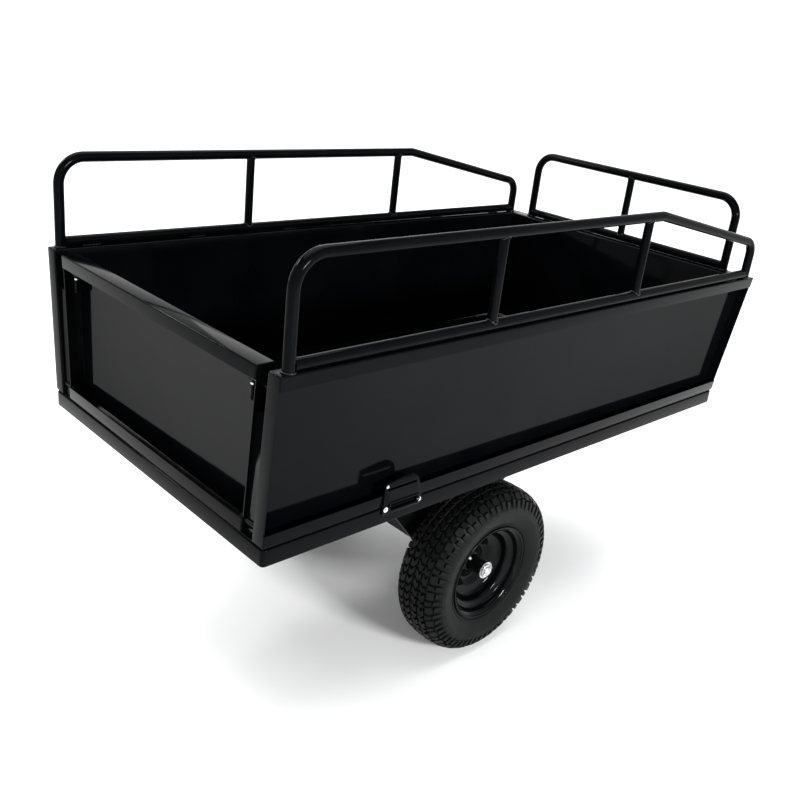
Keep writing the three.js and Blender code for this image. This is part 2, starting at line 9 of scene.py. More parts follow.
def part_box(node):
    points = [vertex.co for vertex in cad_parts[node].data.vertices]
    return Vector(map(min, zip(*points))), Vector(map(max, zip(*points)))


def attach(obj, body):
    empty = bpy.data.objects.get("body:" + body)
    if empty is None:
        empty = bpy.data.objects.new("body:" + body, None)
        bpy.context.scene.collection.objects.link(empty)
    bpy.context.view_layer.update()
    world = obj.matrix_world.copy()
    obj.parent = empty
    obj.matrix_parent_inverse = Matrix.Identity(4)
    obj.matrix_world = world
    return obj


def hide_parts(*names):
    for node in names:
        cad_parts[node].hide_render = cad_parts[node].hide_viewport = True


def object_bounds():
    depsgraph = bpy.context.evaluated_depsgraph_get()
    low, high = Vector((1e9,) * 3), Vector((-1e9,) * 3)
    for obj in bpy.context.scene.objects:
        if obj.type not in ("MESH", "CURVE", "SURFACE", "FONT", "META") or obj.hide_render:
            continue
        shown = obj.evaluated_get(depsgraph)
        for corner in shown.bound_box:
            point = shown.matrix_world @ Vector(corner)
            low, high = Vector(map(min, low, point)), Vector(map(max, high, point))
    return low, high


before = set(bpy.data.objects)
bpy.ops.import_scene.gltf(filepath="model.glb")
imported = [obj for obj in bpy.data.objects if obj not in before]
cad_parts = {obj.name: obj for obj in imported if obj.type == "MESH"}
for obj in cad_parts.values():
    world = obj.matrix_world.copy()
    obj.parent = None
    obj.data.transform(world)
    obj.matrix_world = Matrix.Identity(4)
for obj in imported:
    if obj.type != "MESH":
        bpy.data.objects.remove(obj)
cad_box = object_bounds()

MM = 0.001
PAN_LOW, PAN_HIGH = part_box("right_side_pan")
REAR_X = PAN_LOW.x
SIDES = {"right": -1, "left": 1}
X, Y, Z = Vector((1, 0, 0)), Vector((0, 1, 0)), Vector((0, 0, 1))
rng = random.Random(7)


def at(x, y, z):
    """A point given in millimetres from the tub's rear face, the centre line and the ground."""
    return Vector((REAR_X + x * MM, y * MM, z * MM))


# ------------------------------------------------------------------ materials
def node(tree, kind, **settings):
    """A new shader node with the given settings."""
    made = tree.nodes.new(kind)
    for key, value in settings.items():
        setattr(made, key, value)
    return made


def noise(tree, scale, detail=4.0, rough=0.55, stretch=(1, 1, 1)):
    """Noise in the object's own coordinates."""
    coords = node(tree, "ShaderNodeTexCoord")
    mapping = node(tree, "ShaderNodeMapping")
    mapping.inputs["Scale"].default_value = stretch
    texture = node(tree, "ShaderNodeTexNoise")
    texture.inputs["Scale"].default_value = scale
    texture.inputs["Detail"].default_value = detail
    texture.inputs["Roughness"].default_value = rough
    tree.links.new(coords.outputs["Object"], mapping.inputs["Vector"])
    tree.links.new(mapping.outputs["Vector"], texture.inputs["Vector"])
    return texture.outputs["Fac"]


def ramp(tree, source, stops):
    """source turned into a colour, from stops of (position, colour)."""
    made = node(tree, "ShaderNodeValToRGB")
    elements = made.color_ramp.elements
    while len(elements) < len(stops):
        elements.new(0.5)
    for element, (position, colour) in zip(elements, stops):
        element.position = position
        element.color = (*colour, 1)
    tree.links.new(source, made.inputs["Fac"])
    return made.outputs["Color"]


def spread(tree, source, low, high):
    """The middle range of a noise stretched to low..high."""
    made = node(tree, "ShaderNodeMapRange")
    made.inputs["From Min"].default_value = 0.3
    made.inputs["From Max"].default_value = 0.7
    made.inputs["To Min"].default_value = low
    made.inputs["To Max"].default_value = high
    tree.links.new(source, made.inputs["Value"])
    return made.outputs["Result"]


def surface(name, tones, rough, bumps, metallic=0.0, ior=1.5, specular=0.5, specks=None, grain=6.0):
    """A material whose colour, roughness and relief all come from noise.

    bumps are (scale, height in mm, stretch); specks are (scale, threshold, colour).
    """
    made = bpy.data.materials.new(name)
    made.use_nodes = True
    tree = made.node_tree
    shader = tree.nodes["Principled BSDF"]
    shader.inputs["Metallic"].default_value = metallic
    shader.inputs["IOR"].default_value = ior
    shader.inputs["Specular IOR Level"].default_value = specular
    mottle = noise(tree, grain, 6.0)
    colour = ramp(tree, mottle, [(0.3, tones[0]), (0.7, tones[1])])
    roughness = spread(tree, noise(tree, grain * 1.7, 8.0, 0.65), *rough)
    if specks:
        scale, threshold, tone = specks
        dust = ramp(tree, noise(tree, scale, 2.0), [(threshold, (0, 0, 0)), (threshold + 0.05, (1, 1, 1))])
        mix = node(tree, "ShaderNodeMix", data_type="RGBA")
        tree.links.new(dust, mix.inputs["Factor"])
        tree.links.new(colour, mix.inputs["A"])
        mix.inputs["B"].default_value = (*tone, 1)
        colour = mix.outputs["Result"]
    tree.links.new(colour, shader.inputs["Base Color"])
    tree.links.new(roughness, shader.inputs["Roughness"])
    previous = None
    for scale, height, stretch in bumps:
        bump = node(tree, "ShaderNodeBump")
        bump.inputs["Strength"].default_value = 1.0
        bump.inputs["Distance"].default_value = height * MM
        tree.links.new(noise(tree, scale, 3.0, 0.5, stretch), bump.inputs["Height"])
        if previous:
            tree.links.new(previous, bump.inputs["Normal"])
        previous = bump.outputs["Normal"]
    tree.links.new(previous, shader.inputs["Normal"])
    return made


EVEN = (1, 1, 1)
GLOSS = surface(
    "gloss_black_enamel",
    [(0.0008, 0.0010, 0.0014), (0.0018, 0.0020, 0.0024)],
    (0.06, 0.12),
    [(3.2, 1.1, (1, 1, 1.6)), (260, 0.008, EVEN), (1400, 0.0015, EVEN)],
    ior=1.125,
    specular=0.42,
    specks=(420, 0.74, (0.012, 0.012, 0.011)),
)
TUBE_GLOSS = surface(
    "gloss_black_tube_enamel",
    [(0.0008, 0.0010, 0.0013), (0.0018, 0.0020, 0.0023)],
    (0.05, 0.10),
    [(240, 0.010, EVEN), (1500, 0.002, EVEN)],
    ior=1.13,
    specular=0.32,
    specks=(500, 0.75, (0.012, 0.012, 0.011)),
)
CHASSIS = surface(
    "satin_black_chassis_enamel",
    [(0.0018, 0.0020, 0.0023), (0.0036, 0.0037, 0.0037)],
    (0.28, 0.42),
    [(180, 0.020, EVEN), (1100, 0.004, EVEN)],
    ior=1.28,
    specks=(300, 0.73, (0.020, 0.019, 0.017)),
)
RIM_GLOSS = surface(
    "gloss_black_rim_enamel",
    [(0.0012, 0.0014, 0.0018), (0.0028, 0.0030, 0.0032)],
    (0.05, 0.10),
    [(14, 0.25, EVEN), (320, 0.008, EVEN)],
    ior=1.32,
    specular=0.16,
    specks=(600, 0.75, (0.015, 0.015, 0.015)),
)
RUBBER = surface(
    "tyre_rubber",
    [(0.0022, 0.0024, 0.0027), (0.0046, 0.0048, 0.0051)],
    (0.36, 0.54),
    [(90, 0.12, EVEN), (900, 0.03, EVEN), (2600, 0.015, EVEN)],
    ior=1.36,
    specular=0.13,
    specks=(700, 0.72, (0.020, 0.019, 0.018)),
    grain=18,
)
ZINC = surface(
    "bright_zinc_plate",
    [(0.52, 0.53, 0.55), (0.74, 0.74, 0.73)],
    (0.20, 0.36),
    [(400, 0.02, EVEN), (1800, 0.006, EVEN)],
    metallic=1.0,
    specks=(900, 0.72, (0.40, 0.36, 0.26)),
    grain=60,
)
WELD = surface(
    "painted_weld_bead",
    [(0.0015, 0.0017, 0.0020), (0.0035, 0.0036, 0.0036)],
    (0.18, 0.30),
    [(500, 0.10, EVEN), (1500, 0.02, EVEN)],
    ior=1.3,
    grain=40,
)
VALVE_RUBBER = surface(
    "valve_rubber",
    [(0.006, 0.006, 0.007), (0.011, 0.011, 0.011)],
    (0.45, 0.60),
    [(900, 0.03, EVEN)],
    grain=40,
)


# ------------------------------------------------------------------ mesh helpers
def piece(name, bm, material, body, stands_for=(), crease=38):
    """Turns bm into a named piece that rides on a body."""
    for edge in bm.edges:
        if len(edge.link_faces) == 2 and edge.calc_face_angle() > math.radians(crease):
            edge.smooth = False
    mesh = bpy.data.meshes.new(name)
    bm.to_mesh(mesh)
    bm.free()
    for polygon in mesh.polygons:
        polygon.use_smooth = True
    mesh.materials.append(material)
    made = bpy.data.objects.new(name, mesh)
    bpy.context.scene.collection.objects.link(made)
    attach(made, body)
    if stands_for:
        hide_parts(*stands_for)
    return made


def bevelled(obj, width, angle=30, segments=2):
    """Rounds the edges sharper than angle by width mm."""
    made = obj.modifiers.new("edges", "BEVEL")
    made.width = width * MM
    made.segments = segments
    made.limit_method = "ANGLE"
    made.angle_limit = math.radians(angle)
    made.use_clamp_overlap = True
    made.harden_normals = True
    return made


def softened(cad_node, width, body, material):
    """The CAD node's own shape, with its edges rounded."""
    bm = bmesh.new()
    bm.from_mesh(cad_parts[cad_node].data)
    bmesh.ops.remove_doubles(bm, verts=bm.verts, dist=5e-6)
    bmesh.ops.dissolve_limit(bm, angle_limit=math.radians(1), verts=bm.verts, edges=bm.edges)
    for edge in bm.edges:
        edge.smooth = True
    made = piece(f"{cad_node}_painted", bm, material, body, [cad_node], crease=180)
    bevelled(made, width)
    return made


def circle(centre, u, v, radius, count, turn=0.0):
    """Points on a circle in the plane of u and v."""
    angles = [turn + 2 * math.pi * i / count for i in range(count)]
    return [centre + u * (radius * math.cos(a)) + v * (radius * math.sin(a)) for a in angles]


def ring(bm, centre, u, v, radius, sides, turn=0.0):
    """Vertices on a circle in the plane of u and v."""
    return [bm.verts.new(point) for point in circle(centre, u, v, radius, sides, turn)]


def square_to(axis):
    """Two directions square to a unit axis and to each other."""
    reference = Z if abs(axis.z) < 0.9 else X
    u = reference.cross(axis).normalized()
    return u, axis.cross(u)


def bridge(bm, first, second):
    """A band of faces between two closed loops of vertices."""
    count = len(first)
    for i in range(count):
        j = (i + 1) % count
        bm.faces.new((first[i], first[j], second[j], second[i]))


def sweep(bm, path, radius, sides=24, closed=False):
    """A round bar along a path of points. radius is in metres, or a function of the point's index."""
    count = len(path)
    previous_u = None
    rings = []
    for i, point in enumerate(path):
        before = path[i - 1] if closed or i > 0 else point
        after = path[(i + 1) % count] if closed or i < count - 1 else point
        tangent = (after - before).normalized()
        if previous_u is None:
            reference = Z if abs(tangent.z) < 0.8 else Y
            u = tangent.cross(reference).normalized()
        else:
            u = (previous_u - tangent * previous_u.dot(tangent)).normalized()
        v = tangent.cross(u)
        r = radius(i) if callable(radius) else radius
        rings.append(ring(bm, point, u, v, r, sides))
        previous_u = u
    for i in range(count - 1):
        bridge(bm, rings[i], rings[i + 1])
    if closed:
        bridge(bm, rings[-1], rings[0])
    else:
        bm.faces.new(rings[0])
        bm.faces.new(rings[-1])
    bmesh.ops.recalc_face_normals(bm, faces=bm.faces)


def filleted(points, radii, steps=10):
    """A path through points, with an arc of its own radius (mm) at each inner corner."""
    path = [points[0]]
    for i in range(1, len(points) - 1):
        before, here, after = points[i - 1], points[i], points[i + 1]
        into = (here - before).normalized()
        out = (after - here).normalized()
        turn = into.angle(out)
        radius = radii[i - 1] * MM
        reach = radius * math.tan(turn / 2)
        start = here - into * reach
        inward = (out - into * out.dot(into)).normalized()
        centre = start + inward * radius
        for k in range(steps + 1):
            angle = turn * k / steps
            across, along = radius * math.cos(angle), radius * math.sin(angle)
            path.append(centre - inward * across + into * along)
    path.append(points[-1])
    return path


def lathe(bm, profile, origin, axis, segments):
    """Turns [(radius mm, along mm), ...] about an axis.

    The profile closes on itself unless both of its ends are on the axis.
    """
    axis = axis.normalized()
    u, v = square_to(axis)
    rings = []
    for radius, along in profile:
        centre = origin + axis * (along * MM)
        if radius < 1e-6:
            rings.append(bm.verts.new(centre))
        else:
            rings.append(ring(bm, centre, u, v, radius * MM, segments))
    pairs = list(zip(rings, rings[1:]))
    if isinstance(rings[0], list):
        pairs.append((rings[-1], rings[0]))
    for first, second in pairs:
        if isinstance(first, list) and isinstance(second, list):
            bridge(bm, first, second)
        elif isinstance(first, list) or isinstance(second, list):
            loop, tip = (first, second) if isinstance(first, list) else (second, first)
            for i in range(segments):
                bm.faces.new((loop[i], loop[(i + 1) % segments], tip))
    bmesh.ops.recalc_face_normals(bm, faces=bm.faces)


def rounded(profile, radius=1.0, steps=3):
    """Rounds each corner of a closed profile a little (mm)."""
    made = []
    count = len(profile)
    for i in range(count):
        before = Vector(profile[i - 1])
        here = Vector(profile[i])
        after = Vector(profile[(i + 1) % count])
        reach = min(radius, (before - here).length * 0.45, (after - here).length * 0.45)
        start = here + (before - here).normalized() * reach
        end = here + (after - here).normalized() * reach
        for k in range(steps + 1):
            t = k / steps
            made.append(tuple(start * (1 - t) ** 2 + here * (2 * t * (1 - t)) + end * t ** 2))
    return made


def hex_head(bm, origin, axis, across, height, washer=True):
    """A hexagon head, on a washer or alone, standing along axis from origin (mm sizes)."""
    axis = axis.normalized()
    start = 0.0
    if washer:
        hole, rim_radius, start = 0.4 * across, 1.05 * across, 1.4
        outline = [(hole, 0), (rim_radius, 0), (rim_radius, start), (hole, start)]
        lathe(bm, rounded(outline, 0.5), origin, axis, 28)
    u, v = square_to(axis)
    radius = across / math.sqrt(3) * MM
    layers = [
        (1.0, start),
        (1.0, start + height * 0.72),
        (0.93, start + height * 0.92),
        (0.80, start + height),
    ]
    rings = [ring(bm, origin + axis * (h * MM), u, v, radius * k, 6, 0.3) for k, h in layers]
    for first, second in zip(rings, rings[1:]):
        bridge(bm, first, second)
    bm.faces.new(rings[0])
    bm.faces.new(rings[-1])
    bmesh.ops.recalc_face_normals(bm, faces=bm.faces)


def lumpy(size):
    """A weld bead's radius along its path, with regular ripples and a little chance."""
    return lambda i: size * (1 + 0.16 * math.sin(i * 2.1) + rng.uniform(-0.08, 0.08))


def weld_loop(bm, points, size):
    """A closed weld bead through points."""
    sweep(bm, points, lumpy(size), 8, closed=True)


def weld_line(bm, start, end, size):
    """A straight weld bead."""
    length = (end - start).length
    steps = max(6, int(length / (2.4 * MM)))
    path = [start.lerp(end, i / steps) for i in range(steps + 1)]
    sweep(bm, path, lumpy(size), 8)


# ------------------------------------------------------------------ the camera
def add_camera():
    """Looks from the rear right, as the photograph does, with its slight tilt."""
    heading, pitch, tilt = (math.radians(a) for a in (44.43, 22.46, 6.78))
    forward = Vector((
        math.cos(pitch) * math.cos(heading),
        math.cos(pitch) * math.sin(heading),
        -math.sin(pitch),
    ))
    level = forward.cross(Z).normalized()
    up = level.cross(forward)
    right = level * math.cos(tilt) + up * math.sin(tilt)
    up = right.cross(forward)
    eye = at(-798.5, -1456.6, 1337.8)
    data = bpy.data.cameras.new("camera")
    data.lens = 41.3
    data.sensor_width = 36
    data.clip_end = 60
    camera = bpy.data.objects.new("camera", data)
    camera.matrix_world = Matrix((
        (right.x, up.x, -forward.x, eye.x),
        (right.y, up.y, -forward.y, eye.y),
        (right.z, up.z, -forward.z, eye.z),
        (0, 0, 0, 1),
    ))
    bpy.context.scene.collection.objects.link(camera)
    bpy.context.scene.camera = camera


add_camera()

# ------------------------------------------------------------------ tub panels
# Millimetres, as everything that goes into at().
BASE_Z = PAN_LOW.z / MM
TOP_Z = PAN_HIGH.z / MM
HEIGHT = TOP_Z - BASE_Z
TOP_LENGTH = (PAN_HIGH.x - REAR_X) / MM
TOP_HALF = -PAN_LOW.y / MM
FLARE = 20.0
LEAN = 34.0
LIP = 26.0
SIDE_DEPTH = 34.0
FRONT_DEPTH = 45.0
SHEET = 2.5
CHANNEL = 30.0  # the width of the lower frame's section
MID_Z = 655.0
END_GAP = 66.0  # from the tub's outside to each end of the tailgate


def half_width(z):
    """Half the tub's outside width at height z (all in mm)."""
    return TOP_HALF - FLARE * (TOP_Z - z) / HEIGHT


def front_x(z):
    """The tub's front face at height z, from its rear face (mm)."""
    return TOP_LENGTH - LEAN * (TOP_Z - z) / HEIGHT


def thickened(obj):
    """Gives a surface the sheet's thickness, inwards."""
    made = obj.modifiers.new("sheet", "SOLIDIFY")
    made.thickness = SHEET * MM
    made.offset = -1
    made.use_even_offset = True


def skin(name, faces, centre, body, stands_for):
    """Folded sheet: flat faces given by their corners, rounded at the folds, facing away from centre."""
    bm = bmesh.new()
    for corners in faces:
        made = bm.faces.new([bm.verts.new(corner) for corner in corners])
        made.normal_update()
        if made.normal.dot(made.calc_center_median() - centre) < 0:
            made.normal_flip()
    bmesh.ops.remove_doubles(bm, verts=bm.verts, dist=1e-5)
    made = piece(name, bm, GLOSS, body, stands_for, crease=180)
    fold = bevelled(made, 3.0, 25, 4)
    fold.harden_normals = False
    thickened(made)
    bevelled(made, 0.5, 50, 2)


def lip_heights(low, high):
    """The edges of a panel's return lips, from its foot to its top."""
    return [low, low + LIP, high - LIP, high]


def side_panel(side):
    """A folded pan whose sheet is set in behind the return lips at its top and bottom."""
    s = SIDES[side]
    low, high = BASE_Z, TOP_Z

    def corner(x, depth, z):
        return at(front_x(z) if x is None else x, s * (half_width(z) - depth), z)

    lips = lip_heights(low, high)
    flange = [(0, 0), (None, 0), (None, SIDE_DEPTH), (0, SIDE_DEPTH)]
    faces = [
        [corner(x, d, low) for x, d in flange],
        [corner(x, d, high) for x, d in flange],
        [corner(0, 0, low), corner(None, 0, low), corner(None, 0, lips[1]), corner(0, 0, lips[1])],
        [corner(0, 0, high), corner(None, 0, high), corner(None, 0, lips[2]), corner(0, 0, lips[2])],
        [corner(x, SIDE_DEPTH, z) for x, z in ((0, low), (None, low), (None, high), (0, high))],
        [corner(None, 0, z) for z in lips] + [corner(None, SIDE_DEPTH, high), corner(None, SIDE_DEPTH, low)],
        [corner(0, 0, z) for z in lips] + [corner(0, SIDE_DEPTH, high), corner(0, SIDE_DEPTH, low)],
    ]
    centre = at(700, s * (half_width(660) - 20), MID_Z)
    skin(f"{side}_side_sheet", faces, centre, "tub", [f"{side}_side_pan"])


def tray_faces(corner, depth, low, high):
    """The faces of a pan across the tub; corner(end, depth, z) has end -1 at the right, 1 at the left."""
    lips = lip_heights(low, high)
    faces = [
        [corner(-1, 0, low), corner(1, 0, low), corner(1, depth, low), corner(-1, depth, low)],
        [corner(-1, 0, high), corner(1, 0, high), corner(1, depth, high), corner(-1, depth, high)],
        [corner(-1, 0, low), corner(1, 0, low), corner(1, 0, lips[1]), corner(-1, 0, lips[1])],
        [corner(-1, 0, high), corner(1, 0, high), corner(1, 0, lips[2]), corner(-1, 0, lips[2])],
        [corner(-1, depth, low), corner(1, depth, low), corner(1, depth, high), corner(-1, depth, high)],
    ]
    for end in (-1, 1):
        faces.append([corner(end, 0, z) for z in lips] + [corner(end, depth, high), corner(end, depth, low)])
    return faces


def front_panel():
    """A pan between the side panels, leaning forwards."""
    def corner(end, depth, z):
        return at(front_x(z) - depth, end * (half_width(z) - SIDE_DEPTH - 0.6), z)

    faces = tray_faces(corner, FRONT_DEPTH, BASE_Z, TOP_Z)
    skin("front_sheet", faces, at(front_x(MID_Z) - 20, 0, MID_Z), "tub", ["front_pan"])


def tailgate_panel():
    """A pan that stops short of the corners, where the corner angles stand."""
    gate_low, gate_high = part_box("tailgate")
    depth = (gate_high.x - REAR_X) / MM

    def corner(end, x, z):
        return at(x, end * (half_width(z) - END_GAP), z)

    faces = tray_faces(corner, depth, gate_low.z / MM, gate_high.z / MM)
    skin("tailgate_sheet", faces, at(depth / 2, 0, MID_Z), "tailgate", ["tailgate"])


def frame_band():
    """The lower frame: one channel bent round the base, open below, with rounded corners."""
    low_box, high_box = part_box("right_frame_rail")
    low, high = low_box.z / MM, high_box.z / MM
    half = -low_box.y / MM
    length = front_x(BASE_Z)

    def loop(inset, z, radius):
        """The base's outline, moved inwards, with its corners rounded."""
        made = []
        centres = [
            (inset + radius, -half + inset + radius, 180),
            (length - inset - radius, -half + inset + radius, 270),
            (length - inset - radius, half - inset - radius, 0),
            (inset + radius, half - inset - radius, 90),
        ]
        for x, y, first in centres:
            for k in range(9):
                angle = math.radians(first + 90 * k / 8)
                made.append(at(x + radius * math.cos(angle), y + radius * math.sin(angle), z))
        return made

    bm = bmesh.new()
    loops = [
        loop(5.5, low, 5.0),
        loop(0, low + 0.2, 9.0),
        loop(0, high, 9.0),
        loop(CHANNEL, high, 3.0),
        loop(CHANNEL, low, 3.0),
    ]
    rings = [[bm.verts.new(point) for point in points] for points in loops]
    for first, second in zip(rings, rings[1:]):
        bridge(bm, first, second)
    for face in bm.faces:
        face.normal_update()
    # Each face is turned away from the nearest point of the channel's centre line.
    mid = CHANNEL / 2
    centre_line = half - mid
    for face in bm.faces:
        here = face.calc_center_median()
        x = min(max(here.x, REAR_X + mid * MM), REAR_X + (length - mid) * MM)
        y = min(max(here.y, -centre_line * MM), centre_line * MM)
        between_ends = REAR_X + (mid + 1) * MM < x < REAR_X + (length - mid - 1) * MM
        if between_ends and abs(y) < (centre_line - 0.5) * MM:
            x = REAR_X + (mid if x - REAR_X < length * MM / 2 else length - mid) * MM
        core = Vector((x, y, (low + high) / 2 * MM))
        if face.normal.dot(here - core) < 0:
            face.normal_flip()
    nodes = ["right_frame_rail", "left_frame_rail", "rear_frame_rail", "front_frame_rail"]
    made = piece("base_frame_band", bm, GLOSS, "tub", nodes, crease=180)
    fold = bevelled(made, 2.5, 40, 3)
    fold.harden_normals = False
    thickened(made)


side_panel("right")
side_panel("left")
front_panel()
tailgate_panel()
frame_band()
softened("floor_sheet", 0.6, "tub", GLOSS)
softened("floor_cross_member_1", 1.5, "tub", CHASSIS)
softened("floor_cross_member_2", 1.5, "tub", CHASSIS)


# ------------------------------------------------------------------ rails
def middle(cad_node):
    """The middle of a CAD node's box."""
    low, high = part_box(cad_node)
    return (low + high) / 2


TUBE = 11.0  # the radius of the hoops and bottom bars
POST = 10.0  # the radius of the uprights
RAIL_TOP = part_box("right_rail_hoop")[1].z / MM - TUBE
BAR_Z = middle("right_rail_bottom_bar").z / MM
RAIL_FOOT = TOP_Z + 0.2
BEAD_POINTS = 26


def foot_bead(bm, centre):
    """The bead round the foot of a hoop."""
    weld_loop(bm, circle(centre, X, Y, 11.3 * MM, BEAD_POINTS), 2.1 * MM)


def saddle_bead(bm, centre, bar_z, along, above):
    """A bead where an upright meets a horizontal bar, from above it or from below it."""
    bar = TUBE * MM
    points = []
    for i in range(BEAD_POINTS):
        angle = 2 * math.pi * i / BEAD_POINTS
        x, y = (POST + 0.2) * MM * math.cos(angle), (POST + 0.2) * MM * math.sin(angle)
        offset = y if along == "x" else x
        rise = math.sqrt(max(bar ** 2 - offset ** 2, (0.35 * bar) ** 2))
        z = bar_z * MM + rise if above else bar_z * MM - rise
        points.append(Vector((centre.x + x, centre.y + y, z)))
    weld_loop(bm, points, 1.9 * MM)


def rail_tube(name, path, cad_node):
    """A painted tube along a path."""
    bm = bmesh.new()
    sweep(bm, path, TUBE * MM, 28)
    piece(name, bm, TUBE_GLOSS, "tub", [cad_node], crease=50)


def rail_post(name, beads, cad_node, along):
    """An upright from the bottom bar to the hoop, with a bead at each end."""
    centre = middle(cad_node)
    low = Vector((centre.x, centre.y, (BAR_Z + 8) * MM))
    high = Vector((centre.x, centre.y, (RAIL_TOP - 8) * MM))
    bm = bmesh.new()
    sweep(bm, [low, high], POST * MM, 24)
    piece(name, bm, TUBE_GLOSS, "tub", [cad_node], crease=50)
    saddle_bead(beads, centre, BAR_Z, along, True)
    saddle_bead(beads, centre, RAIL_TOP, along, False)


def side_rail(side):
    """A hoop that slopes down towards the front, a bottom bar on the flange and two uprights."""
    s = SIDES[side]
    y = middle(f"{side}_rail_bottom_bar").y / MM
    rear_x = 23.0
    kink_x = 1031.0
    front = (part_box(f"{side}_rail_hoop")[1].x - REAR_X) / MM - TUBE
    corners = [
        at(rear_x, y, RAIL_FOOT),
        at(rear_x, y, RAIL_TOP),
        at(kink_x, y, RAIL_TOP),
        at(front, y, TOP_Z + 92),
        at(front, y, RAIL_FOOT),
    ]
    hoop = filleted(corners, [56, 60, 40], 14)
    rail_tube(f"{side}_rail_tube", hoop, f"{side}_rail_hoop")
    bar = [at(rear_x + TUBE - 3, y, BAR_Z), at(front - TUBE + 3, y, BAR_Z)]
    rail_tube(f"{side}_rail_base_tube", bar, f"{side}_rail_bottom_bar")

    beads = bmesh.new()
    for i in (1, 2):
        rail_post(f"{side}_rail_post_{i}", beads, f"{side}_rail_upright_{i}", "x")
    for x in (rear_x, front):
        foot_bead(beads, at(x, y, TOP_Z + 1.2))
    bead_y, bead_z = y - s * 7.5, TOP_Z + 1.6
    for x in (70, 330, 600, 860, 1130, 1380):
        weld_line(beads, at(x, bead_y, bead_z), at(x + 40, bead_y, bead_z), 1.9 * MM)
    piece(f"{side}_rail_welds", beads, WELD, "tub", crease=80)


def front_rail():
    """A hoop, a bottom bar and one upright across the front panel's flange."""
    x = (middle("front_rail_bottom_bar").x - REAR_X) / MM
    half = -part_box("front_rail_hoop")[0].y / MM - TUBE
    corners = [
        at(x, -half, RAIL_FOOT),
        at(x, -half, RAIL_TOP),
        at(x, half, RAIL_TOP),
        at(x, half, RAIL_FOOT),
    ]
    rail_tube("front_rail_tube", filleted(corners, [52, 52], 14), "front_rail_hoop")
    bar = [at(x, -half + TUBE - 3, BAR_Z), at(x, half - TUBE + 3, BAR_Z)]
    rail_tube("front_rail_base_tube", bar, "front_rail_bottom_bar")

    beads = bmesh.new()
    rail_post("front_rail_post", beads, "front_rail_upright", "y")
    for y in (-half, half):
        foot_bead(beads, at(x, y, TOP_Z + 1.2))
    bead_x, bead_z = x - 7.5, TOP_Z + 1.6
    for y in (-250, -60, 90, 240):
        weld_line(beads, at(bead_x, y, bead_z), at(bead_x, y + 36, bead_z), 1.9 * MM)
    piece("front_rail_welds", beads, WELD, "tub", crease=80)


side_rail("right")
side_rail("left")
front_rail()


# ------------------------------------------------------------------ tub hardware
BRACKET_FACE = 5.2  # how far the side bracket's face stands off the tub's base
LATCH_X, LATCH_Z = 18.0, 776.0


def tub_hardware(side):
    """The bracket low on the side panel, the tipping pivot's lug and the tailgate's corner angle."""
    s = SIDES[side]
    out = Vector((0, s, 0))
    softened(f"{side}_side_bracket", 0.35, "tub", GLOSS)
    softened(f"{side}_pivot_lug", 1.0, "tub", CHASSIS)
    softened(f"{side}_corner_angle", 0.7, "tub", GLOSS)
    face_y = s * (half_width(BASE_Z) + BRACKET_FACE)

    # A closed link of round bar: the middle and the first angle of each of its two bends.
    link = []
    link_z, bend = 494, 8.5
    for x, first in ((290, 90), (352, -90)):
        for k in range(13):
            angle = math.radians(first + 15 * k)
            link.append(at(x + bend * math.cos(angle), face_y, link_z + bend * math.sin(angle)))
    bm = bmesh.new()
    sweep(bm, link, 2.6 * MM, 12, closed=True)
    piece(f"{side}_bracket_link", bm, GLOSS, "tub", crease=60)

    bm = bmesh.new()
    bolts = ((274, 492, 5.2), (361.5, 490, 4.6), (273, 540.5, 3.2))  # (x, z, across flats)
    for x, z, across in bolts:
        hex_head(bm, at(x, face_y, z), out, across, across * 0.5)
    piece(f"{side}_bracket_bolts", bm, ZINC, "tub", crease=30)


def latch_pin(side):
    """The sliding pin that locks the tailgate's top corner, with its handle, collar and knob."""
    s = SIDES[side]
    inward = Vector((0, -s, 0))
    low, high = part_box(f"{side}_latch_pin")
    x, z = REAR_X + LATCH_X * MM, LATCH_Z * MM
    tip = low.y if s < 0 else high.y
    length = (high.y - low.y) / MM
    body = f"{side}_latch"

    def on_handle(height):
        return Vector((x, tip + inward.y * (length - 10) * MM, height))

    bm = bmesh.new()
    profile = [(0, 0), (2.2, 0), (3.7, 0.9), (4.4, 2.4), (4.4, length - 1.2), (3.4, length), (0, length)]
    lathe(bm, profile, Vector((x, tip, z)), inward, 24)
    sweep(bm, [on_handle(z - 2 * MM), on_handle(low.z + 5 * MM)], 3.4 * MM, 16)
    piece(f"{side}_latch_bolt", bm, GLOSS, body, [f"{side}_latch_pin"], crease=45)

    bm = bmesh.new()
    ball = [(0, -5.2), (2.2, -4.7), (3.8, -2.9), (4.3, 0), (3.8, 2.9), (2.2, 4.6), (0, 4.9)]
    lathe(bm, ball, on_handle(low.z + 5.3 * MM), Z, 20)
    piece(f"{side}_latch_knob", bm, GLOSS, body, crease=60)

    bm = bmesh.new()
    collar = [(3.2, 0), (3.9, 0), (4.3, 0.5), (4.3, 2.9), (3.9, 3.4), (3.2, 3.4)]
    lathe(bm, collar, on_handle(z - 10.5 * MM), Z, 20)
    piece(f"{side}_latch_collar", bm, ZINC, body, crease=45)


def tailgate_pivot(side):
    """The painted bolt about which the tailgate drops, with its head inside the tailgate."""
    s = SIDES[side]
    cad_node = f"{side}_tailgate_pivot_pin"
    low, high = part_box(cad_node)
    outer = low.y if s < 0 else high.y
    shank = (high.y - low.y) / MM - 7
    origin = Vector((REAR_X + 9 * MM, outer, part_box("tailgate")[0].z + 24 * MM))
    inward = Vector((0, -s, 0))
    bm = bmesh.new()
    lathe(bm, [(0, 0), (3.6, 0), (4.9, 1.3), (4.9, shank), (0, shank)], origin, inward, 24)
    hex_head(bm, origin + inward * (shank * MM), inward, 10.5, 6.6, washer=False)
    name = f"{side}_tailgate_hinge_bolt"
    piece(name, bm, GLOSS, "tub", [cad_node], crease=32)


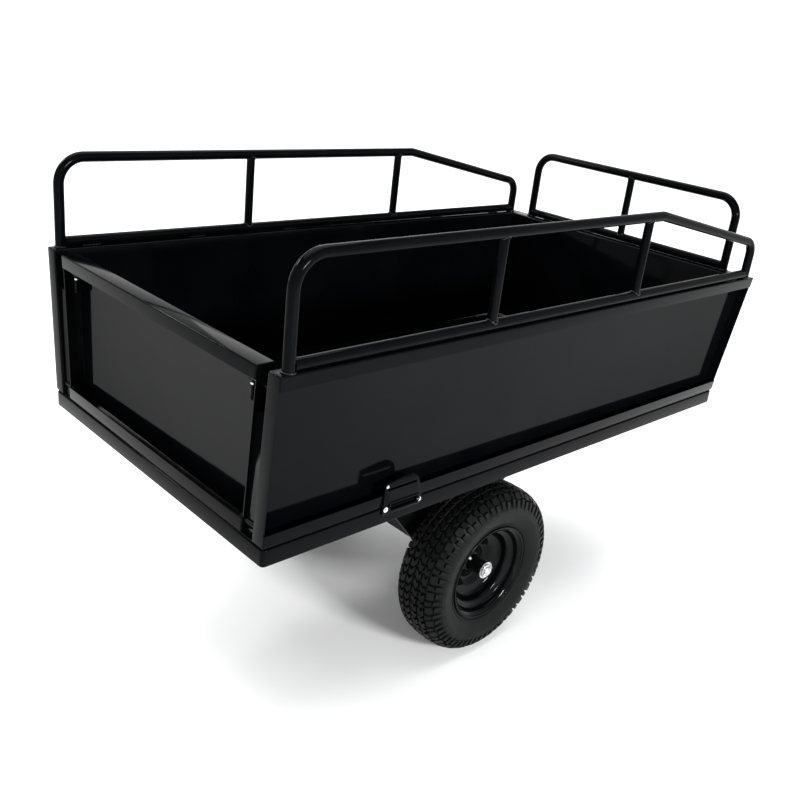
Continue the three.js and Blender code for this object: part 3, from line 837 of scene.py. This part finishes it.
for side in SIDES:
    tub_hardware(side)
    latch_pin(side)
    tailgate_pivot(side)
softened("latch_striker", 1.0, "tub", CHASSIS)


# ------------------------------------------------------------------ chassis
PIVOT_X = 327.0
CROSS_MEMBERS = ("rear_cross_member", "front_cross_member")


def chassis_side(side):
    """One side's rail and axle plate, its tipping pivot bolt and its welds."""
    s = SIDES[side]
    out = Vector((0, s, 0))
    for name in ("chassis_rail", "axle_plate"):
        softened(f"{side}_{name}", 1.4, "chassis", CHASSIS)
    low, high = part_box(f"{side}_pivot_bolt")
    head_y, end_y = (low.y, high.y) if s < 0 else (high.y, low.y)
    centre = Vector((REAR_X + PIVOT_X * MM, head_y, (low.z + high.z) / 2))
    length = (high.y - low.y) / MM
    bm = bmesh.new()
    lathe(bm, [(0, 6), (5.9, 6), (5.9, length - 1), (5.0, length), (0, length)], centre, -out, 24)
    hex_head(bm, centre - out * (8.0 * MM), out, 17, 7.8, washer=False)
    nut = Vector((centre.x, end_y + out.y * 9.5 * MM, centre.z))
    hex_head(bm, nut, -out, 17, 7.0)
    piece(f"{side}_pivot_bolt_and_nut", bm, ZINC, "chassis", [f"{side}_pivot_bolt"], crease=32)

    beads = bmesh.new()
    bead = 2.4 * MM
    rail_low, rail_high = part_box(f"{side}_chassis_rail")
    under_rail = rail_low.z / MM - 0.6
    over_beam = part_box("axle_beam")[1].z / MM + 0.8
    for y in (rail_low.y / MM + 14, rail_high.y / MM - 14):
        for x in (404, 560, 716, 872):
            weld_line(beads, at(x, y, under_rail), at(x + 86, y, under_rail), bead)
        weld_line(beads, at(632, y, over_beam), at(672, y, over_beam), bead)
    for cross in CROSS_MEMBERS:
        cross_low, cross_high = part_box(cross)
        y = cross_low.y if s < 0 else cross_high.y
        for x in (cross_low.x, cross_high.x):
            start = Vector((x, y, cross_low.z + 3 * MM))
            weld_line(beads, start, Vector((x, y, cross_high.z - 3 * MM)), bead)
    piece(f"{side}_chassis_welds", beads, WELD, "chassis", crease=80)


def drawbar_parts():
    """The chassis's middle: cross members, axle beam, drawbar, hitch and tipping latch."""
    for name in (*CROSS_MEMBERS, "axle_beam", "drawbar"):
        softened(name, 1.8, "chassis", CHASSIS)
    softened("hitch_clevis", 1.2, "chassis", CHASSIS)
    softened("latch_bracket", 0.9, "chassis", CHASSIS)
    softened("tip_latch_lever", 1.2, "tip_latch", CHASSIS)
    low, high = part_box("latch_bolt")
    centre = (low + high) / 2
    bm = bmesh.new()
    lathe(bm, [(0, -18), (4.9, -18), (4.9, 18), (0, 18)], centre, Y, 20)
    for s in (-1, 1):
        hex_head(bm, centre + Vector((0, s * 13.4 * MM, 0)), Vector((0, s, 0)), 13, 5.2)
    piece("latch_pivot_bolt_and_nut", bm, ZINC, "chassis", ["latch_bolt"], crease=32)

    clevis_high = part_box("hitch_clevis")[1]
    x = clevis_high.x - 25 * MM
    seat = clevis_high.z / MM + 0.3
    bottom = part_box("hitch_pin")[0].z / MM
    bm = bmesh.new()
    shank = [(0, bottom), (4.5, bottom), (6.4, bottom + 2), (7.4, bottom + 6), (7.4, seat)]
    collar = [(13.0, seat), (14.0, seat + 1), (14.0, seat + 4), (13.0, seat + 5)]
    neck = [(7.5, seat + 5.4), (5.0, seat + 9), (0, seat + 10)]
    lathe(bm, shank + collar + neck, Vector((x, 0, 0)), Z, 32)
    pull_ring = circle(Vector((x, 0, (seat + 20) * MM)), Y, Z, 16.5 * MM, 36)
    sweep(bm, pull_ring, 3.1 * MM, 14, closed=True)
    piece("hitch_pin_and_ring", bm, ZINC, "drawbar_pin", ["hitch_pin"], crease=45)

    beads = bmesh.new()
    bead = 2.3 * MM
    bar_low, bar_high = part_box("drawbar")
    for s in (-1, 1):
        y = s * 24.2 * MM
        for cross in CROSS_MEMBERS:
            cross_low, cross_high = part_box(cross)
            start = Vector((cross_low.x + 2 * MM, y, bar_high.z + 0.2 * MM))
            weld_line(beads, start, Vector((cross_high.x - 2 * MM, y, start.z)), bead)
        y = s * 25 * MM
        for z in (bar_high.z, bar_low.z):
            start = Vector((bar_high.x - 100 * MM, y, z))
            weld_line(beads, start, Vector((bar_high.x - 20 * MM, y, z)), bead)
    piece("drawbar_welds", beads, WELD, "chassis", crease=80)


chassis_side("right")
chassis_side("left")
drawbar_parts()


# ------------------------------------------------------------------ wheels
WHEEL_Y = 333.0
AXLE = Vector((middle("right_tyre").x, 0, middle("right_tyre").z))
TYRE_SEGMENTS = 144
RIM_SEGMENTS = 128
PITCHES = 31  # tread pitches round the tyre
TREAD_DEPTH = 6.4
SHOULDER = 60  # arc length from the tread's middle to where the sidewall begins
BLOCK_RADIUS = 195  # where a block's outline has its true size


def wheel_frame(side):
    """A wheel's middle, and the direction away from the cart."""
    s = SIDES[side]
    return Vector((AXLE.x, s * WHEEL_Y * MM, AXLE.z)), Vector((0, s, 0))


def spline(points, steps):
    """A smooth curve through 2-D points (Catmull-Rom)."""
    padded = [points[0], *points, points[-1]]
    made = []
    for i in range(1, len(padded) - 2):
        p0, p1, p2, p3 = (Vector(p) for p in padded[i - 1:i + 3])
        for k in range(steps):
            t = k / steps
            made.append(0.5 * (2 * p1 + (p2 - p0) * t + (2 * p0 - 5 * p1 + 4 * p2 - p3) * t ** 2
                               + (3 * p1 - p0 - 3 * p2 + p3) * t ** 3))
    made.append(Vector(points[-1]))
    return made


# The tyre's outside from the middle of its tread to its bead: (radius, outwards).
OUTSIDE = spline(
    [(203, 0), (202.6, 14), (201.2, 28), (197.4, 41), (190.5, 51), (181, 57.2), (170, 60.4), (158, 61),
     (146, 59.6), (134, 56.4), (124, 52.2), (117, 48.2)],
    8,
)
LENGTHS = [0.0]
for first, second in zip(OUTSIDE, OUTSIDE[1:]):
    LENGTHS.append(LENGTHS[-1] + (second - first).length)


def on_profile(v, depth):
    """(radius, outwards) at arc length v from the tread's middle (either sign), sunk by depth."""
    run = min(abs(v), LENGTHS[-1] - 1e-6)
    i = max(k for k, length in enumerate(LENGTHS) if length <= run)
    t = (run - LENGTHS[i]) / (LENGTHS[i + 1] - LENGTHS[i])
    point = OUTSIDE[i].lerp(OUTSIDE[i + 1], t)
    along = (OUTSIDE[i + 1] - OUTSIDE[i]).normalized()
    normal = Vector((along.y, -along.x))
    if (normal.x if run < SHOULDER else normal.y) < 0:
        normal = -normal
    sunk = point - normal * depth
    return sunk.x, math.copysign(sunk.y, v) if v else sunk.y


def wheel_point(s, radius, outwards, angle):
    """A point of the wheel, outwards being counted from the wheel's middle plane."""
    return Vector((
        AXLE.x + radius * MM * math.cos(angle),
        s * (WHEEL_Y + outwards) * MM,
        AXLE.z + radius * MM * math.sin(angle),
    ))


# One pitch of the turf tread: outlines as (share of a pitch, arc length across in mm).
BLOCKS = [
    [(0.06, 1.8), (0.44, 1.8), (0.70, 11.0), (0.60, 19.0), (0.22, 19.0), (0.34, 11.0)],
    [(0.56, 1.8), (0.92, 1.8), (1.18, 11.0), (1.10, 16.0), (0.74, 18.6), (0.82, 11.0)],
    [(0.16, 22.4), (0.58, 22.4), (0.82, 29.5), (0.72, 37.8), (0.24, 37.8), (0.40, 29.5)],
    [(0.70, 21.2), (1.02, 22.4), (1.22, 28.0), (1.10, 34.6), (0.86, 36.4), (0.94, 28.6)],
    [(0.04, 41.2), (0.46, 41.2), (0.54, 49.5), (0.48, 59.5), (0.04, 59.5), (0.00, 49.5)],
    [(0.60, 40.0), (0.90, 41.2), (0.94, 48.0), (0.88, 55.0), (0.62, 56.5), (0.64, 48.0)],
    [(0.10, 62.4), (0.42, 62.4), (0.43, 76.0), (0.39, 89.0), (0.17, 89.0), (0.12, 76.0)],
    [(0.62, 59.4), (0.88, 58.2), (0.90, 70.0), (0.86, 80.0), (0.66, 80.0), (0.63, 70.0)],
]


def tread_block(bm, s, outline, mirror, pitch_index, offset):
    """One block of the tread, rooted in the tyre and chamfered round its top."""
    step = 2 * math.pi / PITCHES
    layers = [(TREAD_DEPTH + 1.2, -0.5), (1.2, 0.2), (0.0, 1.3)]  # (depth, inset)
    centre_u = sum(u for u, _ in outline) / len(outline)
    centre_v = sum(v for _, v in outline) / len(outline)
    pitch_length = step * BLOCK_RADIUS
    rings = []
    for depth, inset in layers:
        loop = []
        for u, v in outline:
            du, dv = (u - centre_u) * pitch_length, v - centre_v
            reach = math.hypot(du, dv)
            shrink = 1 - inset / reach
            angle = (pitch_index + offset + centre_u + (u - centre_u) * shrink) * step
            radius, outwards = on_profile(mirror * (centre_v + dv * shrink), depth)
            loop.append(bm.verts.new(wheel_point(s, radius, outwards, angle)))
        rings.append(loop)
    for first, second in zip(rings, rings[1:]):
        bridge(bm, first, second)
    bm.faces.new(rings[0])
    bm.faces.new(rings[-1])


def mirrored(profile):
    """A profile's mirror image in the wheel's middle plane."""
    return [(r, -y) for r, y in profile]


def tyre(side):
    """The carcass, sunk below the tread's surface where the blocks stand, and the blocks."""
    s = SIDES[side]
    half = []
    for k in range(97):
        v = LENGTHS[-1] * k / 96
        # The carcass rises to the sidewall's surface where the longest blocks end.
        sink = min(TREAD_DEPTH, max((85.2 - v) / 3, (92 - v) * 0.17, 0))
        radius, outwards = on_profile(v, sink)
        if 82 < v < 86:  # a rib under the tread
            outwards += 0.8
        if 119 < radius < 123:  # a rib that guards the rim
            outwards += 1.8
        half.append((radius, abs(outwards)))
    half += [(112.5, 46.2), (107, 44.2), (104.3, 42.0), (104.0, 34.5)]
    inner = [(120, 40), (142, 48), (164, 50), (182, 42), (190, 26), (193, 0)]
    profile = half[::-1] + mirrored(half[1:]) + mirrored(inner) + inner[-2::-1]
    bm = bmesh.new()
    lathe(bm, profile, *wheel_frame(side), TYRE_SEGMENTS)
    for index in range(PITCHES):
        for mirror, offset in ((1, 0.0), (-1, 0.5)):
            for outline in BLOCKS:
                tread_block(bm, s, outline, mirror, index, offset)
    bmesh.ops.recalc_face_normals(bm, faces=bm.faces)
    piece(f"{side}_tyre_with_tread", bm, RUBBER, f"{side}_wheel", [f"{side}_tyre"], crease=32)


def rim(side):
    """The barrel, with rolled edges and a well, and the dished disc inside it."""
    centre, out = wheel_frame(side)
    turns = [math.radians(d) for d in range(-60, 211, 30)]
    # Profiles are (radius, outwards); the wheel's outer half is drawn and then mirrored.
    roll = [(112.4 + 2.0 * math.cos(a), 49.8 + 1.7 * math.sin(a)) for a in turns]
    seen_side = [
        (108.8, 49.6), (104.5, 46.4), (101.6, 42.5), (100.2, 36), (98.2, 31.5), (93, 28.4), (87.2, 25.4),
        (84.4, 20), (83.8, 10),
    ]
    wall = [(p.x, p.y) for p in spline(seen_side, 4)]
    tyre_side = [(r + 2.6, y + (0.6 if y > 26 else 0)) for r, y in wall[:-1]] + [(86.6, 10)]
    half = roll + wall
    section = half + mirrored(half[::-1]) + mirrored(tyre_side) + tyre_side[::-1]
    bm = bmesh.new()
    lathe(bm, section, centre, out, RIM_SEGMENTS)
    piece(f"{side}_rim_barrel", bm, RIM_GLOSS, f"{side}_wheel", [f"{side}_rim"], crease=50)

    dish = spline(
        [(84.6, 16), (82.5, 9), (77, 3.5), (69, 0.8), (60, -2.5), (52, -8.5), (44, -12.5), (35, -12.0),
         (28, -8.0), (22.5, -5.0), (19.4, -4.6)],
        5,
    )
    face = [(p.x, p.y) for p in dish]
    behind = [(p.x, p.y - 2.6) for p in dish]
    bm = bmesh.new()
    lathe(bm, face + behind[::-1], centre, out, RIM_SEGMENTS)
    piece(f"{side}_wheel_disc", bm, RIM_GLOSS, f"{side}_wheel", crease=50)


def hub(side):
    """The grooved hub tube and a bearing's flange at each of its ends."""
    centre, out = wheel_frame(side)
    outline = [(10.8, -37.5), (19.2, -37.5), (20, -36.5)]
    for groove in (-30, -22, 8, 15, 22, 29):
        outline += [(20, groove - 1.6), (18.6, groove - 0.8), (18.6, groove + 0.8), (20, groove + 1.6)]
    outline += [(20, 34.6), (19.2, 35.6), (10.8, 35.6)]
    bm = bmesh.new()
    lathe(bm, outline, centre, out, 48)
    piece(f"{side}_hub_tube", bm, RIM_GLOSS, f"{side}_wheel", [f"{side}_hub"], crease=35)

    flange = [
        (12.4, 35.8), (20.0, 35.8), (20.4, 36.4), (20.2, 37.6), (15.4, 37.8), (14.8, 37.2), (13.4, 37.2),
        (12.4, 37.6),
    ]
    bm = bmesh.new()
    lathe(bm, flange, centre, out, 48)
    lathe(bm, mirrored(flange), centre, out, 48)
    piece(f"{side}_wheel_bearings", bm, ZINC, f"{side}_wheel", crease=35)


def axle_end(side):
    """What holds the wheel on: a washer, the stub axle's end and a split pin through it."""
    centre, out = wheel_frame(side)

    def reach(cad_node):
        """How far a node reaches inwards and outwards from the wheel's middle plane."""
        return sorted(abs(corner.y) / MM - WHEEL_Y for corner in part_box(cad_node))

    inner, outer = reach(f"{side}_axle_washer")
    washer = [(10.4, inner), (16, inner), (16, outer), (10.4, outer)]
    bm = bmesh.new()
    lathe(bm, rounded(washer, 0.7), centre, out, 40)
    piece(f"{side}_axle_flat_washer", bm, ZINC, "chassis", [f"{side}_axle_washer"], crease=35)

    inner, outer = reach(f"{side}_stub_axle")
    shaft = [(0, inner), (9.9, inner), (9.9, outer - 1.6), (8.3, outer)]
    centre_mark = [(2.2, outer), (1.2, outer - 1.6), (0, outer - 2.0)]
    bm = bmesh.new()
    lathe(bm, shaft + centre_mark, centre, out, 40)
    piece(f"{side}_axle_end", bm, ZINC, "chassis", [f"{side}_stub_axle"], crease=35)

    tilt = math.radians(35)
    along = Vector((math.cos(tilt), 0, math.sin(tilt)))
    across = Vector((-math.sin(tilt), 0, math.cos(tilt)))
    core = centre + out * ((outer - 3.0) * MM)
    wire = 1.0 * MM
    bm = bmesh.new()
    for sign in (-1, 1):
        base = core + across * (0.9 * MM * sign)
        leg = [
            base - along * (12 * MM),
            base + along * (10.6 * MM),
            base + along * (12.6 * MM) + across * (1.4 * MM * sign),
            base + along * (15 * MM) + across * (5 * MM * sign),
        ]
        sweep(bm, leg, wire, 10)
    eye = circle(core - along * (14.5 * MM), along, across, 3.2 * MM, 20)
    sweep(bm, eye, wire, 10, closed=True)
    piece(f"{side}_split_pin", bm, ZINC, "chassis", crease=50)


def valve(side):
    """The tyre's valve, standing in from the barrel."""
    s = SIDES[side]
    angle = math.radians(138)
    start = wheel_point(s, 85, 12, angle)
    lean = Vector((-math.cos(angle), s * 0.22, -math.sin(angle))).normalized()
    bm = bmesh.new()
    stem = [(0, -2), (7.5, -1), (7.4, 3), (5.2, 7), (4.2, 10), (4.0, 21), (3.4, 22), (0, 22)]
    lathe(bm, stem, start, lean, 24)
    piece(f"{side}_valve_stem", bm, VALVE_RUBBER, f"{side}_wheel", crease=45)

    bm = bmesh.new()
    cap = [(0, 21.8), (2.6, 21.8), (2.6, 25), (4.2, 25.6), (4.2, 33), (3.2, 34.2), (0, 34.4)]
    lathe(bm, cap, start, lean, 20)
    piece(f"{side}_valve_cap", bm, ZINC, f"{side}_wheel", crease=45)


for side in SIDES:
    tyre(side)
    rim(side)
    hub(side)
    axle_end(side)
    valve(side)


# ------------------------------------------------------------------ floor and light
FLOOR_HALF = 45  # metres


def studio():
    """A white floor under a bright horizon, a broad key from overhead and three softboxes."""
    bm = bmesh.new()
    bmesh.ops.create_grid(bm, x_segments=8, y_segments=8, size=FLOOR_HALF)
    mesh = bpy.data.meshes.new("studio_floor")
    bm.to_mesh(mesh)
    bm.free()
    floor = bpy.data.objects.new("studio_floor", mesh)
    tones = [(0.88, 0.88, 0.88), (0.91, 0.91, 0.91)]
    grit = [(60, 0.05, EVEN)]
    paint = surface("studio_floor_paint", tones, (0.65, 0.75), grit, specular=0.1, grain=2)
    mesh.materials.append(paint)
    bpy.context.scene.collection.objects.link(floor)
    floor.location.z = min(0.0, cad_box[0][2]) - 0.0005

    world = bpy.data.worlds.new("studio_world")
    world.use_nodes = True
    tree = world.node_tree
    background = tree.nodes["Background"]
    background.inputs["Strength"].default_value = 1.0
    height = node(tree, "ShaderNodeSeparateXYZ")
    tree.links.new(node(tree, "ShaderNodeTexCoord").outputs["Generated"], height.inputs["Vector"])
    # By height in the sky: white below and at the horizon, grey overhead.
    stops = [(0.10, (1.18, 1.18, 1.18)), (0.46, (0.99, 0.995, 1.0)), (0.74, (0.30, 0.31, 0.33))]
    tree.links.new(ramp(tree, height.outputs["Z"], stops), background.inputs["Color"])
    bpy.context.scene.world = world
    bpy.context.scene.view_settings.view_transform = "Standard"

    def area(name, location, target, size, power):
        """A softbox of (width, height) metres that faces a target."""
        data = bpy.data.lights.new(name, "AREA")
        data.shape = "RECTANGLE"
        data.size, data.size_y = size
        data.energy = power
        light = bpy.data.objects.new(name, data)
        light.location = location
        facing = Vector(target) - Vector(location)
        light.rotation_euler = facing.to_track_quat("-Z", "Y").to_euler()
        bpy.context.scene.collection.objects.link(light)

    data = bpy.data.lights.new("sky_dome_key", "SUN")
    data.energy = 3.5
    data.angle = math.radians(62)
    key = bpy.data.objects.new("sky_dome_key", data)
    key.rotation_euler = (math.radians(-14), math.radians(8), 0)
    bpy.context.scene.collection.objects.link(key)
    area("far_softbox", (2.6, 3.8, 3.9), (-1.1, -0.3, 0.8), (2.0, 2.2), 34)
    area("rear_edge_strip", (-2.6, 3.6, 3.6), (-0.9, 0, 0.8), (1.8, 0.3), 110)
    area("wheel_strip", (-0.75, -4.2, 1.95), (-0.46, -0.33, 0.2), (1.1, 0.34), 200)


studio()
